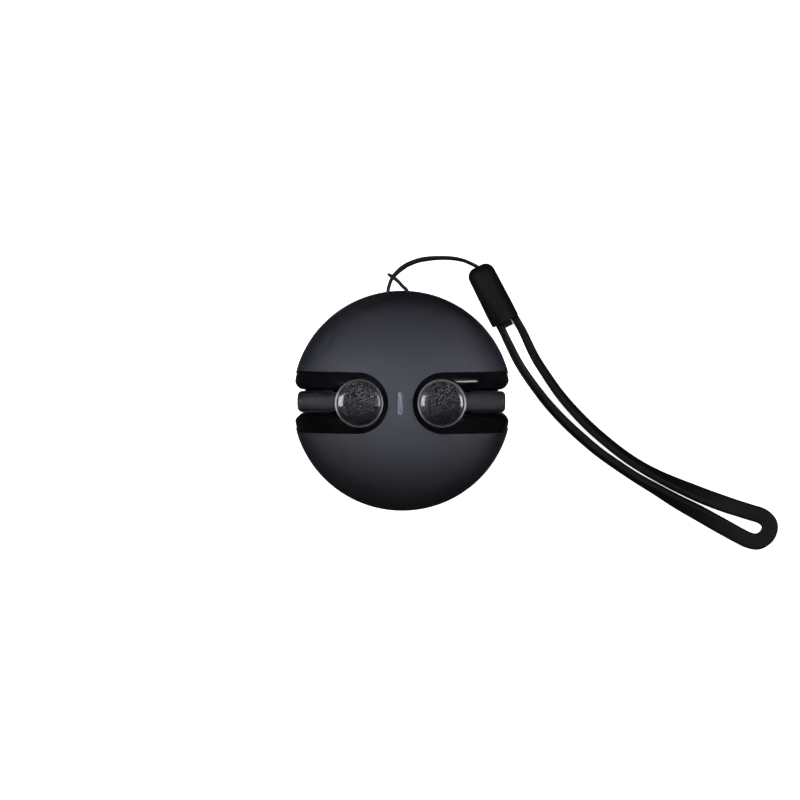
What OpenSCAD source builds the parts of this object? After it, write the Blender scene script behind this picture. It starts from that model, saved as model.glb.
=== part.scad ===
// Round charging case for a pair of stem-type wireless earphones, lying on its
// back with both earphones docked, with a wrist strap hitched through its rim.
// Z is up, out of the front; Y points to the strap holes; the origin is the
// middle of the flat base.

/* [Case] */
// Diameter of the case at its widest line
case_d = 60; // [58:1:72]
// Thickness of the round body, front to back, before its base is cut flat
case_t = 34; // [33:1:41]
// Radius of the rim, where the front and back crowns meet
rim_r = 12; // [10.5:0.5:13]
// Height of the seam between the shells above the base
seam_h = 15.5; // [15:0.25:16]
// Wall of both shells
wall = 1.6; // [1.2:0.1:1.8]
// How far the front shell's lip reaches into the back shell
seam_lip_h = 1; // [0.6:0.1:1]
// Gap round that lip
seam_lip_clear = 0.1; // [0.05:0.05:0.2]

/* [Docks] */
// Strip of shell left between the two troughs
bridge_w = 6.5; // [6:0.25:9]
// From an earphone's head to the side of its trough
head_margin = 1.8; // [1.5:0.1:2.6]
// How much nearer the middle the head sits than the round end of its trough
head_shift = 0.5; // [0:0.1:0.5]
// How far the glossy cradles lie below the shell
cradle_recess = 0.35; // [0.2:0.05:0.5]
// Gap between a cradle and the shell round it
cradle_clear = 0.05; // [0.05:0.05:0.15]
// Thickness of a cradle's visible band
cradle_band_t = 1.4; // [1:0.1:1.8]
// Walls of a cradle's well, pocket and channel
cradle_wall = 1.1; // [0.8:0.1:1.2]
// Gap round the head in its well
well_clear = 0.4; // [0.3:0.05:0.6]
// Gap round the ear tip in its pocket
tip_clear = 0.6; // [0.4:0.1:0.8]
// Gap between the stem and its channel
stem_clear = 0.37; // [0.3:0.01:0.5]
// From the stem's side to the wall of the wide groove above the channel
groove_gap = 2.7; // [2.4:0.1:3.2]
// Radius of the lips at the mouth of the channel, seen from the front
mouth_lip_r = 3; // [2:0.25:3.5]
// How far the mouth reaches in from the rim
mouth_depth = 3.8; // [3:0.1:4.2]

/* [Earphones] */
// Diameter of the head, across its bright ring
head_d = 13; // [12:0.25:15.6]
// Width of the bright ring
ring_w = 0.4; // [0.3:0.05:0.6]
// Dark gap between the ring and the touch key
key_gap = 0.3; // [0.2:0.05:0.5]
// Thickness of the touch key's disc
key_t = 0.9; // [0.7:0.1:1]
// Width of the key's rolled-off edge
key_roll_w = 2.4; // [1.5:0.1:2.6]
// Radius of that edge in section
key_roll_r = 6; // [6:0.5:12]
// Travel of the touch key
key_travel = 0.35; // [0.2:0.05:0.4]
// How far the touch face lies below the crown beside it
face_drop = 0.4; // [0:0.1:1]
// Diameter of the stem
stem_d = 5.8; // [5:0.1:7]
// Height of the stem's axis above the seam
stem_h = 5; // [4.5:0.25:5.5]
// From the rim in to the stem's end
stem_inset = 1.8; // [1:0.1:2.5]
// Radius of the stem's rounded end
stem_end_r = 1.3; // [0.8:0.1:1.8]
// Gap between the head and the stem's collar
neck_l = 1.2; // [0.8:0.1:1.6]
// Diameter of the neck
neck_d = 5; // [4.4:0.1:5]
// Length of the stem's collar
collar_l = 2.2; // [2:0.1:2.6]
// Wall of the earphone's shells
ear_wall = 0.8; // [0.6:0.1:0.9]
// Diameter of the nozzle
nozzle_d = 4.8; // [4:0.1:5.2]
// Length of the nozzle
nozzle_l = 4.5; // [4:0.25:5]
// Diameter of the silicone ear tip
tip_d = 11.2; // [10:0.2:11.6]

/* [Inside] */
// Thickness of the charging board
board_t = 1; // [0.8:0.1:1.2]
// Depth of the board's top face below the seam
board_drop = 1.2; // [1.1:0.1:1.5]
// Length of the battery cell
battery_l = 24; // [18:1:24]
// Width of the battery cell
battery_w = 16; // [12:1:16]
// Thickness of the battery cell
battery_t = 6; // [4:0.5:6.5]
// Thickness of the foam pad under the battery
pad_t = 0.8; // [0.5:0.1:1]
// Width of the charging socket's metal shell
usb_w = 8.94; // [8.9:0.01:9]
// Height of the charging socket's metal shell
usb_h = 3.26; // [3.2:0.01:3.3]
// Length of the charging socket
usb_l = 7.3; // [6.5:0.1:8]
// Gap round the charging socket in the shell
usb_clear = 0.15; // [0.1:0.05:0.3]
// Diameter of the charging pins
pin_d = 0.9; // [0.8:0.05:1]
// Running clearance of a charging pin in its barrel
pin_clear = 0.05; // [0.03:0.01:0.08]
// Travel of a charging pin
pin_travel = 0.4; // [0.3:0.05:0.5]
// Diameter of the case screws' shanks
screw_d = 1.2; // [1:0.1:1.4]
// Length of the indicator bar
bar_l = 5.85; // [4:0.05:6]
// Width of the indicator bar
bar_w = 1.2; // [1:0.1:1.6]

/* [Strap] */
// Diameter of the thin cord
cord_d = 1; // [0.8:0.1:1]
// Diameter of the two cord holes in the rim
strap_hole_d = 2.6; // [2.4:0.1:2.8]
// Spacing of the two cord holes
strap_hole_gap = 4.8; // [4.8:0.1:5.2]
// Diameter of the sleeve at the loop's end
sleeve_d = 8; // [7:0.1:8.2]
// Diameter of the sleeve at its domed end
sleeve_top_d = 7.5; // [6.8:0.1:7.8]
// Length of the sleeve
sleeve_l = 17; // [15:0.5:18]
// Width of the loop's band
band_w = 4.5; // [4:0.1:5]
// Thickness of the loop's band
band_t = 2.2; // [2:0.1:2.6]

/* [Hidden] */
$fn = 96;
eps = 0.05;
left = -1;
right = 1;

// The case's outline: two crown arcs and a rim arc, each meeting the next smoothly
case_r = case_d / 2;
half_t = case_t / 2;
rim_x = case_r - rim_r;
crown_r = (rim_x * rim_x + half_t * half_t - rim_r * rim_r) / (2 * (half_t - rim_r));
crown_drop = crown_r - half_t;
seam_lip_t = 0.8;
seam_lip_root = 1.5;

// Front surface above the seam, at a distance from the case's axis inside the crown
function crown_z(rho) = sqrt(crown_r * crown_r - rho * rho) - crown_drop;

// Docks
head_r = head_d / 2;
trough_r = head_r + head_margin;
trough_x = bridge_w / 2 + trough_r;
dock_x = trough_x - head_shift;
stem_r = stem_d / 2;
channel_r = stem_r + stem_clear;
groove_r = stem_r + groove_gap;
channel_floor_z = stem_h - channel_r;
mouth_x = case_r - mouth_depth;
skirt_r = channel_r + mouth_lip_r + cradle_wall;
well_r = head_r + well_clear;

// Earphones
face_z = crown_z(dock_x) - face_drop;
cover_r = head_r - 0.1;
ring_in_r = head_r - ring_w;
key_r = ring_in_r - key_gap;
key_flat_r = key_r - key_roll_w;
ring_rise = 0.1;
deck_z = face_z - key_t - key_travel - 0.25;
deck_t = 0.5;
deck_hole_r = 1.3;
key_post_r = 1;
key_post_z = deck_z - deck_t - 0.3;
switch_h = 0.5;
ear_board_z = key_post_z - key_travel - 0.1 - switch_h;
ear_board_t = 0.8;
ear_cell_h = 3.2;
ear_cell_z = ear_board_z - ear_board_t - 0.4 - ear_cell_h;
head_bottom_z = stem_h - stem_r - 0.2;
head_fillet = 3;
part_z = stem_h + stem_r + 0.3;
nozzle_r = nozzle_d / 2;
nozzle_bore_r = nozzle_r - 0.7;
nozzle_z = head_bottom_z - nozzle_l;
collar_x = dock_x + head_r + neck_l;
stem_seam_x = collar_x + collar_l;
stem_end_x = case_r - stem_inset;
stem_bore_r = stem_r - 0.7;
spigot_r = stem_bore_r - 0.1;
spigot_l = 2;
pocket_r = tip_d / 2 + tip_clear;
tip_drop = 1.2;
pocket_floor_z = nozzle_z - tip_drop - 0.8;
well_floor_z = head_bottom_z - 0.7;

// Charging contacts on the stem and the pins under them
pin_r = pin_d / 2;
inner_pin_x = collar_x + collar_l / 2;
outer_pin_x = stem_seam_x + 1.9;
pad_r = 0.75;
pad_z = stem_h - sqrt(stem_r * stem_r - pad_r * pad_r);
pin_tip_z = pad_z - 0.03;
pin_hole_gap = 0.3;
barrel_r = pin_r + pin_clear + 0.3;
barrel_gap = 0.08;
skirt_x = max(mouth_x - cradle_wall, outer_pin_x + barrel_r + barrel_gap);

// Board, fixings and battery
board_z = -board_drop - board_t;
board_r = case_r - wall - 4.2;
board_tab_w = 12;
board_tab_y = case_r - 3;
post_r = 1.9;
post_x = dock_x + head_r;
post_y = trough_r + 2.3;
post_top_z = stem_h - 1;
screw_head_r = 1.4;
screw_grip = 3.4;
screw_hole_gap = 0.4;
magnet_l = 5;
magnet_t = 1.5;
magnet_h = 4;
magnet_y = well_r + cradle_wall + eps + magnet_t / 2;
floor_z = -seam_h + wall;
battery_z = floor_z + pad_t;
wire_r = 0.4;
usb_y = -(case_r - 1);
usb_z = board_z - usb_h / 2;
chips = [
    [-1, 15, 4, 4, 0.9], [6, 17, 3, 3, 1.1], [-8, 17, 2.5, 2, 0.8], [-6, 12, 1.6, 0.8, 0.6],
    [0, -13, 5, 5, 0.8], [8, -16, 2.4, 1.6, 0.8], [-8, -16, 2.4, 1.6, 0.8], [5, -19, 1.6, 0.8, 0.5]
];

// Strap holes in the rim, with a turn behind the bar between them
strap_x = -1.1;
strap_z = 2.5;
strap_turn_r = strap_hole_gap / 2;
strap_hole_r = strap_hole_d / 2;
strap_turn_y = case_r - 2.8;
strap_boss_wall = 1.2;

// The sleeve's axis lies flat: its loop end and its bearing
sleeve_at = [28.2, 21.35, 4];
sleeve_turn = 117;
sleeve_bore_r = cord_d + 0.2;
sleeve_bore_l = 4;

// The thin cord's route, from the sleeve to the case, twice through the holes and back
cord_route = [
    [22.15, 33.2, 3.45], [21.3, 34.9, 3.45], [20.35, 36.35, 3.5], [19.05, 37.1, 4], [17.7, 37.75, 5.05],
    [15.85, 38.3, 6.8], [13.15, 38.7, 9.15], [9.9, 38.75, 11.55], [6.95, 38.45, 13.55],
    [4.2, 37.9, 15.1], [1.6, 36.85, 16.3], [0.1, 35.85, 16.75], [-1.15, 34.85, 17.05],
    [-2.4, 33.65, 17.2], [-3, 32.55, 17.3], [-3.4, 31.35, 17.4], [-3.7, 29.9, 17.45],
    [-3.5, 27.2, 17.45], [-2.8, 25.5, 17.45], [-1.1, 24.8, 17.45], [0.6, 25.5, 17.45],
    [1.3, 27.2, 17.45], [1.4, 29.9, 17.45], [0.3, 31.1, 17], [-0.9, 32.4, 16.4], [-2.3, 33.65, 15.95],
    [-3.25, 34.15, 16.5], [-3.5, 34.3, 17.75], [-3.25, 34.15, 19], [-2.3, 33.65, 19.55],
    [-0.9, 32.4, 19], [0.3, 31.1, 18.7], [1.4, 29.9, 18.55], [1.3, 27.2, 18.55], [0.6, 25.5, 18.55],
    [-1.1, 24.8, 18.55], [-2.8, 25.5, 18.55], [-3.5, 27.2, 18.55], [-3.7, 29.9, 18.55],
    [-3.4, 31.45, 18.5], [-3, 32.65, 18.4], [-2.4, 33.75, 18.3], [-1.25, 35.15, 18.15],
    [0.1, 36.35, 17.85], [1.8, 37.35, 17.3], [4.6, 38.4, 16.1], [7.45, 38.85, 14.45],
    [10.5, 38.95, 12.45], [13.85, 38.8, 10.05], [16.55, 38.2, 7.6], [18.3, 37.45, 5.95],
    [19.55, 36.9, 5], [20.45, 36.25, 4.6], [21.3, 34.9, 4.55], [22.15, 33.2, 4.55]
];
// The band's route round the loop, each point with its roll from standing on edge
band_route = [
    [30.6, 22.65, 4, 0], [32.05, 20.2, 3.1, 0], [33.3, 17.8, 2.5, 4], [36.1, 11.9, 2.4, 8],
    [39.3, 6.8, 2.4, 9], [43, 1.5, 2.4, 12], [47, -3.2, 2.4, 14], [51.4, -7.7, 2.4, 16],
    [56.2, -11.9, 2.4, 16], [61.2, -15.8, 2.4, 17], [66.5, -19.2, 2.4, 19], [72, -22.1, 2.4, 28],
    [77.5, -24.6, 2.1, 43], [83.5, -27.1, 1.9, 61], [89.5, -29.3, 1.6, 76], [95.4, -31.2, 1.3, 90],
    [99.2, -32.5, 1.2, 90], [101.2, -34.8, 1.2, 90], [100.5, -37.7, 1.2, 90], [98.1, -39.4, 1.2, 90],
    [95.6, -39.1, 1.2, 90], [93, -37.9, 1.3, 90], [87.2, -34.7, 1.6, 76], [81.5, -31.5, 1.9, 61],
    [75.7, -28.4, 2.1, 43], [70.1, -25.1, 2.4, 28], [64.6, -21.9, 2.4, 19], [59.1, -18.3, 2.4, 17],
    [53.9, -14.6, 2.4, 16], [48.8, -10.3, 2.4, 16], [44.1, -5.9, 2.4, 14], [39.7, -1.1, 2.4, 12],
    [35.6, 4.2, 2.4, 9], [31.9, 9.7, 2.4, 8], [29.2, 15, 2.5, 4], [27.8, 17.9, 3.1, 0],
    [26.45, 20.6, 4, 0]
];

// Half outline of the case body, each surface moved in by an inset
module half_outline(inset) {
    blend_x = rim_x * (crown_r - inset) / (crown_r - rim_r);
    translate([rim_x, 0]) circle(rim_r - inset);
    intersection() {
        translate([0, -crown_drop]) circle(crown_r - inset);
        translate([0, crown_drop]) circle(crown_r - inset);
        translate([0, -half_t]) square([blend_x, case_t]);
    }
}

// The body between two heights, each surface moved in by an inset
module body_slice(inset, z_low, z_high) {
    rotate_extrude() intersection() {
        half_outline(inset);
        translate([0, z_low]) square([case_d, z_high - z_low]);
    }
}

// Puts a right-hand piece on one side, at the height of the seam
module docked(side) {
    translate([0, 0, seam_h]) {
        if (side == right) children();
        else mirror([1, 0, 0]) children();
    }
}

// Lays a turned piece along the stem's axis, its local Z pointing out
module along_stem(x) {
    translate([x, 0, stem_h]) rotate([0, 90, 0]) children();
}

module at_head(z) {
    translate([dock_x, 0, z]) children();
}

module at_posts() {
    for (y = [-post_y, post_y]) translate([post_x, y, 0]) children();
}

// Plan of a trough: a round end at the middle, open at the rim
module trough_plan(extra) {
    translate([trough_x, 0]) circle(trough_r + extra);
    translate([trough_x, -trough_r - extra]) square([case_r, 2 * (trough_r + extra)]);
}

module stadium(w, h) {
    for (x = [-1, 1]) translate([x * (w - h) / 2, 0]) circle(h / 2);
    translate([-(w - h) / 2, -h / 2]) square([w - h, h]);
}

// A half section with a rounded lower corner
module cup_section(r, z_low, z_high, corner) {
    translate([0, z_low]) square([r - corner, z_high - z_low]);
    translate([0, z_low + corner]) square([r, z_high - z_low - corner]);
    translate([r - corner, z_low + corner]) circle(corner);
}

module strap_tunnel() {
    for (x = [-strap_turn_r, strap_turn_r]) {
        translate([strap_x + x, strap_turn_y, strap_z])
            rotate([-90, 0, 0]) cylinder(r = strap_hole_r, h = case_r);
    }
    translate([strap_x, strap_turn_y, strap_z]) rotate([0, 0, 180])
        rotate_extrude(angle = 180) translate([strap_turn_r, 0]) circle(strap_hole_r);
}

module strap_boss() {
    boss_w = strap_hole_gap + strap_hole_d + 2 * strap_boss_wall;
    boss_d = strap_turn_r + strap_hole_r + strap_boss_wall;
    intersection() {
        translate([strap_x - boss_w / 2, strap_turn_y - boss_d, 0.1])
            cube([boss_w, boss_d + 2, strap_z + strap_hole_r + strap_boss_wall]);
        body_slice(wall / 2, 0, half_t);
    }
}

module screw_bosses() {
    intersection() {
        for (side = [left, right]) mirror([side == left ? 1 : 0, 0, 0])
            at_posts() translate([0, 0, post_top_z]) cylinder(r = post_r, h = half_t);
        body_slice(wall / 2, 0, half_t);
    }
}

module front_shell() {
    lip_out = case_r - wall - seam_lip_clear;
    lip_in = lip_out - seam_lip_t;
    lip_root_out = lip_out + 0.6;
    pilot_gap = 0.1;
    pilot_spare = 0.4;
    color("dimgray") translate([0, 0, seam_h]) difference() {
        union() {
            difference() {
                body_slice(0, 0, half_t);
                body_slice(wall, -1, half_t);
            }
            difference() {
                translate([0, 0, -seam_lip_h]) cylinder(r = lip_out, h = seam_lip_h + eps);
                translate([0, 0, -2]) cylinder(r = lip_in, h = 4);
            }
            difference() {
                cylinder(r = lip_root_out, h = seam_lip_root);
                translate([0, 0, -1]) cylinder(r = lip_in, h = 4);
            }
            screw_bosses();
            strap_boss();
        }
        for (side = [0, 1]) mirror([side, 0, 0])
            translate([0, 0, -2]) linear_extrude(half_t + 4) trough_plan(cradle_clear);
        translate([0, 0, half_t - 2 * wall]) linear_extrude(4 * wall)
            rotate(90) stadium(bar_l + 2 * eps, bar_w + 2 * eps);
        for (side = [0, 1]) mirror([side, 0, 0])
            at_posts() translate([0, 0, post_top_z - 1])
                cylinder(d = screw_d + pilot_gap, h = screw_grip + 1 + pilot_spare);
        strap_tunnel();
    }
}

module back_shell() {
    rib_t = 1;
    rib_h = 1.5;
    rib_l = 4;
    rib_x = battery_l / 2 - 3;
    rib_y = battery_w / 2 + eps;
    color("dimgray") translate([0, 0, seam_h]) difference() {
        union() {
            difference() {
                body_slice(0, -seam_h, 0);
                body_slice(wall, floor_z, 1);
            }
            for (x = [-rib_x, rib_x], y = [-rib_y - rib_t, rib_y])
                translate([x - rib_l / 2, y, floor_z - eps]) cube([rib_l, rib_t, rib_h + pad_t]);
        }
        for (side = [0, 1]) mirror([side, 0, 0])
            translate([skirt_x - cradle_clear, -skirt_r - cradle_clear, -half_t])
                cube([case_r, 2 * (skirt_r + cradle_clear), half_t + 1]);
        translate([0, usb_y + 3, usb_z]) rotate([90, 0, 0]) linear_extrude(wall + 6)
            stadium(usb_w + 2 * usb_clear, usb_h + 2 * usb_clear);
    }
}

module light_pipe() {
    flange_z = crown_z(4) - wall - 1.05;
    color("lightsteelblue") translate([0, 0, seam_h]) {
        intersection() {
            translate([0, 0, board_z + board_t + 0.8]) linear_extrude(case_t)
                rotate(90) stadium(bar_l, bar_w);
            body_slice(0, -half_t, half_t);
        }
        translate([0, 0, flange_z]) linear_extrude(0.9) rotate(90) stadium(bar_l + 1.6, bar_w + 1.4);
    }
}

// Section of the groove above the stem's channel, in the plane across the stem
module groove_section() {
    roll_r = groove_r - channel_r;
    intersection() {
        translate([0, stem_h]) circle(channel_r);
        translate([-channel_r, stem_h - channel_r]) square([2 * channel_r, channel_r]);
    }
    difference() {
        translate([-groove_r, stem_h]) square([2 * groove_r, case_t]);
        for (y = [-groove_r, groove_r]) translate([y, stem_h]) circle(roll_r);
    }
}

// Plan of the channel's mouth, between its two round lips
module mouth_plan() {
    lip_y = channel_r + mouth_lip_r;
    difference() {
        translate([mouth_x, -lip_y]) square([case_r, 2 * lip_y]);
        for (y = [-lip_y, lip_y]) translate([mouth_x, y]) circle(mouth_lip_r);
    }
}

module cradle_block() {
    difference() {
        body_slice(cradle_recess, 0, half_t);
        body_slice(cradle_recess + cradle_band_t, -1, half_t);
    }
}

module cradle(side) {
    web_w = 1.6;
    web_y = groove_r + 0.5;
    post_base_h = board_drop + post_top_z;
    pocket_base_z = pocket_floor_z - cradle_wall;
    channel_base_z = channel_floor_z - cradle_wall;
    color([0.03, 0.03, 0.035]) docked(side) difference() {
        union() {
            intersection() {
                cradle_block();
                linear_extrude(case_t) trough_plan(0);
            }
            intersection() {
                union() {
                    at_head(pocket_base_z)
                        cylinder(r = pocket_r + cradle_wall, h = well_floor_z - pocket_base_z);
                    at_head(well_floor_z - cradle_wall) cylinder(r = well_r + cradle_wall, h = case_t);
                    translate([dock_x, -groove_r - cradle_wall, channel_base_z])
                        cube([case_r, 2 * (groove_r + cradle_wall), case_t]);
                    translate([skirt_x, -skirt_r, -half_t]) cube([case_r, 2 * skirt_r, half_t + eps]);
                    translate([skirt_x, -skirt_r, 0]) cube([case_r, 2 * skirt_r, stem_h]);
                }
                body_slice(cradle_recess, -half_t, half_t);
                translate([0, 0, -half_t]) linear_extrude(case_t) trough_plan(0);
            }
            at_posts() translate([0, 0, -board_drop]) cylinder(r = post_r, h = post_base_h);
            for (y = [-post_y, web_y]) translate([post_x - web_w / 2, y, -board_drop])
                cube([web_w, post_y - web_y, post_base_h]);
        }
        at_head(well_floor_z) cylinder(r = well_r, h = case_t);
        at_head(pocket_floor_z) cylinder(r = pocket_r, h = case_t);
        translate([dock_x, 0, 0]) rotate([90, 0, 90]) linear_extrude(case_r) groove_section();
        translate([0, 0, -case_t]) linear_extrude(2 * case_t) mouth_plan();
        for (x = [inner_pin_x, outer_pin_x]) translate([x, 0, channel_base_z - 1])
            cylinder(d = pin_d + pin_hole_gap, h = 3);
        at_posts() translate([0, 0, -board_drop - 1]) cylinder(d = screw_d + screw_hole_gap, h = case_t);
    }
}

module dock_magnets(side) {
    color("silver") docked(side)
        for (y = [-magnet_y, magnet_y]) translate([dock_x, y, part_z - magnet_h / 2])
            cube([magnet_l, magnet_t, magnet_h], center = true);
}

module charging_board() {
    color("darkgreen") translate([0, 0, seam_h + board_z]) difference() {
        union() {
            cylinder(r = board_r, h = board_t);
            translate([-board_tab_w / 2, -board_tab_y, 0]) cube([board_tab_w, board_tab_y / 2, board_t]);
        }
        for (side = [0, 1]) mirror([side, 0, 0]) {
            translate([dock_x, 0, -1]) cylinder(r = pocket_r + cradle_wall + 0.3, h = 4);
            at_posts() translate([0, 0, -1]) cylinder(d = screw_d + screw_hole_gap, h = 4);
        }
    }
}

module board_chips() {
    color([0.08, 0.08, 0.09]) translate([0, 0, seam_h - board_drop])
        for (c = chips) translate([c[0] - c[2] / 2, c[1] - c[3] / 2, 0]) cube([c[2], c[3], c[4]]);
}

module indicator_led() {
    color("white") translate([-0.8, -0.4, seam_h - board_drop]) cube([1.6, 0.8, 0.6]);
}

module usb_socket() {
    skin = 0.3;
    color("silver") translate([0, usb_y, seam_h + usb_z]) rotate([-90, 0, 0]) difference() {
        linear_extrude(usb_l) stadium(usb_w, usb_h);
        translate([0, 0, -1]) linear_extrude(usb_l + 1 - skin)
            stadium(usb_w - 2 * skin, usb_h - 2 * skin);
    }
}

module usb_tongue() {
    skin = 0.3;
    base_l = 2;
    color([0.05, 0.05, 0.05]) translate([0, usb_y, seam_h + usb_z]) rotate([-90, 0, 0]) {
        translate([-3.35, -0.35, 0.8]) cube([6.7, 0.7, usb_l - skin - base_l]);
        translate([0, 0, usb_l - skin - base_l]) linear_extrude(base_l)
            stadium(usb_w - 2 * skin, usb_h - 2 * skin);
    }
}

module battery_cell() {
    corner = 2;
    color("silver") translate([0, 0, seam_h + battery_z]) linear_extrude(battery_t) {
        for (x = [-1, 1], y = [-1, 1])
            translate([x * (battery_l / 2 - corner), y * (battery_w / 2 - corner)]) circle(corner);
        translate([-battery_l / 2, corner - battery_w / 2]) square([battery_l, battery_w - 2 * corner]);
        translate([corner - battery_l / 2, -battery_w / 2]) square([battery_l - 2 * corner, battery_w]);
    }
}

module battery_pad() {
    color("lightgray") translate([2 - battery_l / 2, 2 - battery_w / 2, seam_h + floor_z])
        cube([battery_l - 4, battery_w - 4, pad_t]);
}

module battery_leads() {
    bend_r = 1;
    run_y = 1.2;
    start_y = battery_w / 2;
    lead_z = battery_z + battery_t - 1.5;
    color("firebrick") translate([0, 0, seam_h]) for (x = [-1.2, 1.2]) translate([x, 0, 0]) {
        translate([0, start_y, lead_z]) rotate([-90, 0, 0]) cylinder(r = wire_r, h = run_y);
        translate([0, start_y + run_y, lead_z + bend_r]) rotate([0, -90, 0])
            rotate([0, 0, 90]) rotate_extrude(angle = 90) translate([bend_r, 0]) circle(wire_r);
        translate([0, start_y + run_y + bend_r, lead_z + bend_r])
            cylinder(r = wire_r, h = board_z - lead_z - bend_r);
    }
}

module case_screws() {
    head_h = 1;
    slot_w = 0.4;
    slot_l = 1.8;
    color("gray") translate([0, 0, seam_h + board_z]) for (side = [0, 1]) mirror([side, 0, 0]) at_posts()
        difference() {
            union() {
                translate([0, 0, -head_h]) cylinder(r = screw_head_r, h = head_h);
                cylinder(d = screw_d, h = post_top_z - board_z + screw_grip);
            }
            for (turn = [0, 90]) rotate([0, 0, turn])
                translate([-slot_l / 2, -slot_w / 2, -head_h - 1]) cube([slot_l, slot_w, 1.5]);
        }
}

module pin_barrels(side) {
    barrel_top_z = channel_floor_z - cradle_wall - barrel_gap;
    barrel_base_t = 0.15;
    color("gold") docked(side) for (x = [inner_pin_x, outer_pin_x]) translate([x, 0, -board_drop])
        difference() {
            cylinder(r = barrel_r, h = barrel_top_z + board_drop);
            translate([0, 0, barrel_base_t]) cylinder(r = pin_r + pin_clear, h = 5);
        }
}

module charging_pin(side, x) {
    foot_z = 0.2 - board_drop + pin_travel + 0.1;
    color("gold") docked(side) translate([x, 0, 0]) {
        translate([0, 0, foot_z]) cylinder(r = pin_r, h = pin_tip_z - pin_r / 2 - foot_z);
        translate([0, 0, pin_tip_z - pin_r / 2]) cylinder(r1 = pin_r, r2 = pin_r / 2, h = pin_r / 2);
    }
}

module touch_key(side) {
    color([0.2, 0.2, 0.22]) docked(side) at_head(0) rotate_extrude() intersection() {
        polygon([
            [0, face_z], [key_r, face_z], [key_r, face_z - key_t], [key_post_r, face_z - key_t],
            [key_post_r, key_post_z], [0, key_post_z]
        ]);
        union() {
            translate([key_flat_r, face_z - key_roll_r]) circle(key_roll_r);
            translate([0, key_post_z]) square([key_flat_r, face_z - key_post_z]);
        }
    }
}

module key_ring(side) {
    edge = 0.1;
    color("silver") docked(side) at_head(0) rotate_extrude() polygon([
        [ring_in_r, face_z - key_t], [head_r, face_z - key_t], [head_r, face_z + ring_rise - edge],
        [head_r - edge, face_z + ring_rise], [ring_in_r + edge, face_z + ring_rise],
        [ring_in_r, face_z + ring_rise - edge]
    ]);
}

module head_cover(side) {
    seat_r = ring_in_r - 0.05;
    color([0.12, 0.12, 0.13]) docked(side) at_head(0) rotate_extrude() polygon([
        [deck_hole_r, deck_z], [seat_r, deck_z], [seat_r, face_z - key_t], [cover_r, face_z - key_t],
        [cover_r, part_z], [cover_r - ear_wall, part_z], [cover_r - ear_wall, deck_z - deck_t],
        [deck_hole_r, deck_z - deck_t]
    ]);
}

module pad_hole(x) {
    translate([x, 0, stem_h - stem_r - 1]) cylinder(r = pad_r + 0.03, h = 2);
}

module head_body(side) {
    color([0.2, 0.2, 0.22]) docked(side) difference() {
        union() {
            at_head(0) rotate_extrude() {
                cup_section(cover_r, head_bottom_z, part_z, head_fillet);
                translate([0, nozzle_z]) square([nozzle_r, nozzle_l + 1]);
            }
            along_stem(dock_x + cover_r - 1.5) cylinder(d = neck_d, h = neck_l + 2);
            along_stem(collar_x) cylinder(r = stem_r, h = collar_l);
            along_stem(collar_x) cylinder(r = spigot_r, h = collar_l + spigot_l);
        }
        at_head(0) rotate_extrude() {
            cup_section(cover_r - ear_wall, head_bottom_z + ear_wall, part_z + 1, head_fillet - ear_wall);
            translate([0, nozzle_z - 1]) square([nozzle_bore_r, nozzle_l + 3]);
        }
        along_stem(dock_x) cylinder(r = spigot_r - 0.6, h = case_r);
        pad_hole(inner_pin_x);
    }
}

module stem_tube(side) {
    tube_l = stem_end_x - stem_seam_x;
    port_r = 0.4;
    color([0.2, 0.2, 0.22]) docked(side) difference() {
        along_stem(stem_end_x) mirror([0, 0, 1]) rotate_extrude() difference() {
            cup_section(stem_r, 0, tube_l, stem_end_r);
            translate([0, ear_wall]) square([stem_bore_r, tube_l]);
        }
        along_stem(stem_end_x - 2) cylinder(r = port_r, h = 4);
        pad_hole(outer_pin_x);
    }
}

module ear_tip(side) {
    sleeve_r = nozzle_r + 0.03;
    edge_r = tip_d / 2;
    color([0.1, 0.1, 0.11]) docked(side) at_head(nozzle_z) rotate_extrude() polygon([
        [1.6, -tip_drop], [2.6, -tip_drop], [0.62 * edge_r, -0.9], [0.86 * edge_r, 0.3],
        [0.97 * edge_r, 1.8], [edge_r, 3.1], [0.97 * edge_r, 3.8], [0.91 * edge_r, 3.6],
        [0.87 * edge_r, 2], [0.76 * edge_r, 0.9], [sleeve_r + 0.7, 0.2], [sleeve_r + 0.7, 3.9],
        [sleeve_r, 3.9], [sleeve_r, -0.05], [1.6, -0.05]
    ]);
}

module sound_mesh(side) {
    color("gray") docked(side) at_head(nozzle_z + 0.3) cylinder(r = nozzle_bore_r, h = 0.3);
}

module driver(side) {
    color("slategray") docked(side) at_head(head_bottom_z + 1.9) {
        cylinder(r = cover_r - ear_wall - 0.4, h = 1.4);
        cylinder(r = 3, h = 2.3);
    }
}

module ear_cell(side) {
    color("silver") docked(side) at_head(ear_cell_z)
        cylinder(r = cover_r - ear_wall - 0.9, h = ear_cell_h);
}

module ear_board(side) {
    color("darkgreen") docked(side) at_head(ear_board_z - ear_board_t)
        cylinder(r = cover_r - ear_wall - 0.3, h = ear_board_t);
}

module key_switch(side) {
    color("silver") docked(side) at_head(ear_board_z) cylinder(r = 1.75, h = switch_h);
}

module microphone(side) {
    color("goldenrod") docked(side) translate([stem_end_x - ear_wall - 1.2, -1.3, stem_h - 1.1])
        cube([1.1, 2.6, 2.2]);
}

module contacts(side) {
    pad_t = 0.5;
    color("gold") docked(side) for (x = [inner_pin_x, outer_pin_x])
        translate([x, 0, pad_z]) cylinder(r = pad_r, h = pad_t);
}

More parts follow.
